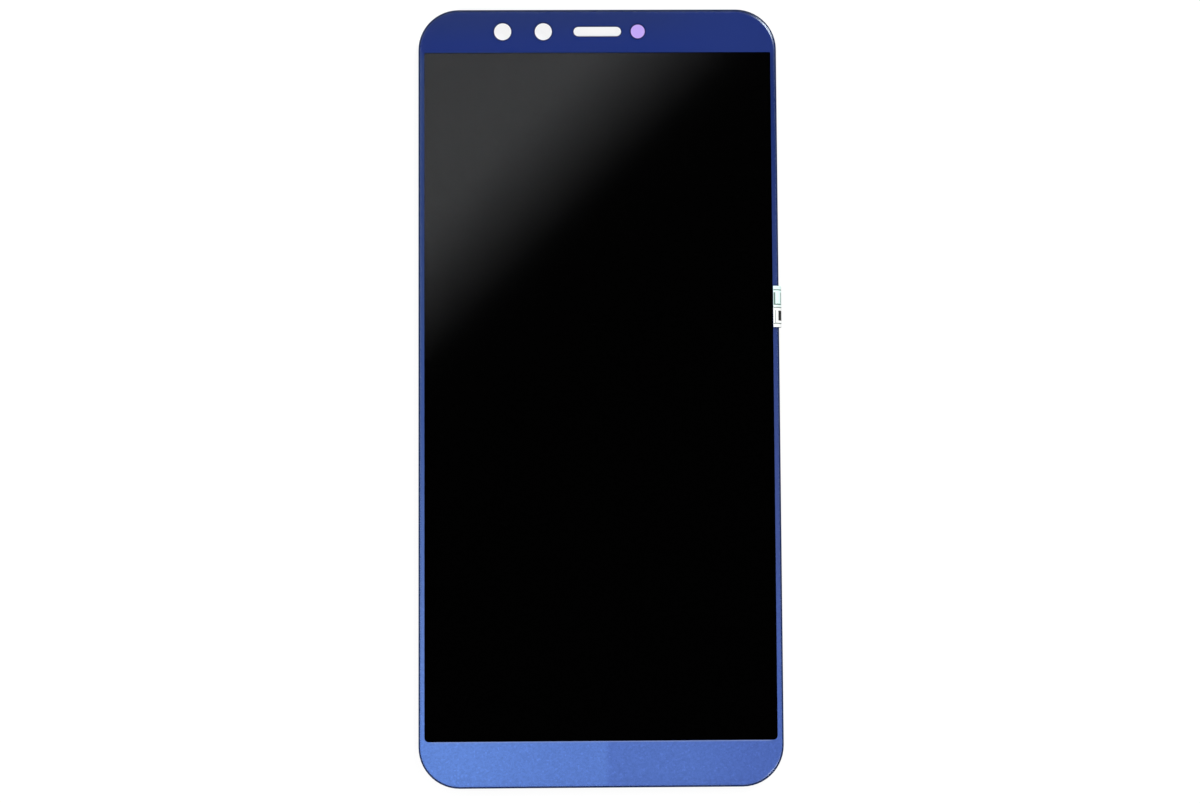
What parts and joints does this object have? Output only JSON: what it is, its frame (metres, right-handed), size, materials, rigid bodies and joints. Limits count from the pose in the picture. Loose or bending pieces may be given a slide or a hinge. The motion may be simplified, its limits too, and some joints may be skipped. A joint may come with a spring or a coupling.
{
  "type": "phone lcd screen assembly",
  "caption": "Phone LCD screen assembly with dark blue border glass, display cell, backlight in a steel tray, folded flexible circuit and board connector.",
  "frame": {"origin": "centre of the bounding box, at the mating face of the board connector, the lowest point", "axes": "+X to the right seen from the front, +Y towards the earpiece end, +Z out of the glass"},
  "size_m": [0.0686, 0.1466, 0.0035],
  "materials": {
    "cover_glass": "polished",
    "border_ink": "metallic print seen through glass",
    "sensor_ink": "tinted print",
    "clear_adhesive": "clear",
    "polarizer_film": "smooth",
    "rear_polarizer_film": "smooth",
    "cell_glass": "polished",
    "array_glass": "polished",
    "cell_seal": "cured resin",
    "liquid_crystal": "fluid layer",
    "silicon": "ground silicon",
    "bonding_film": "cured film",
    "ledge_coating": "cured resin",
    "black_tape": "matte film",
    "prism_film": "fine ribs",
    "diffuser_film": "frosted",
    "light_guide": "clear",
    "reflector_film": "white",
    "frame_plastic": "moulded",
    "led_package": "moulded",
    "phosphor": "cured resin",
    "led_flex_film": "white coverlay",
    "solder": "bright",
    "tray_steel": "fine brushed",
    "flex_film": "amber coverlay",
    "stiffener_steel": "satin",
    "connector_plastic": "moulded",
    "contact_gold": "gold plated",
    "tin_plate": "tin plated",
    "capacitor_ceramic": "fired",
    "chip_epoxy": "moulded",
    "conductive_cloth": "metallised weave",
    "label_paper": "coated"
  },
  "bodies": {
    "root": {"cover_glass": "cover_glass", "border_ink": "border_ink", "sensor_window_ink": "sensor_ink", "optical_adhesive": "clear_adhesive", "front_polarizer": "polarizer_film", "color_filter_glass": "cell_glass", "cell_seal": "cell_seal", "liquid_crystal_layer": "liquid_crystal", "tft_glass": "array_glass", "rear_polarizer": "rear_polarizer_film", "driver_ic": "silicon", "driver_bonding_film": "bonding_film", "ledge_coating": "ledge_coating", "rim_tape": "black_tape", "upper_prism_sheet": "prism_film", "lower_prism_sheet": "prism_film", "diffuser_sheet": "diffuser_film", "light_guide_plate": "light_guide", "reflector_sheet": "reflector_film", "mold_frame": "frame_plastic", "backlight_leds": "led_package", "led_phosphor": "phosphor", "led_flex": "led_flex_film", "led_flex_solder": "solder", "backlight_tray": "tray_steel", "main_flex": "flex_film", "flex_bonding_film": "bonding_film", "flex_tape": "black_tape", "connector_stiffener": "stiffener_steel", "connector_housing": "connector_plastic", "connector_contacts": "contact_gold", "connector_hold_downs": "tin_plate", "flex_capacitors": "capacitor_ceramic", "capacitor_terminals": "tin_plate", "flex_memory_chip": "chip_epoxy", "flex_power_chip": "chip_epoxy", "ground_tape": "conductive_cloth", "seal_label": "label_paper"}
  },
  "joints": []
}
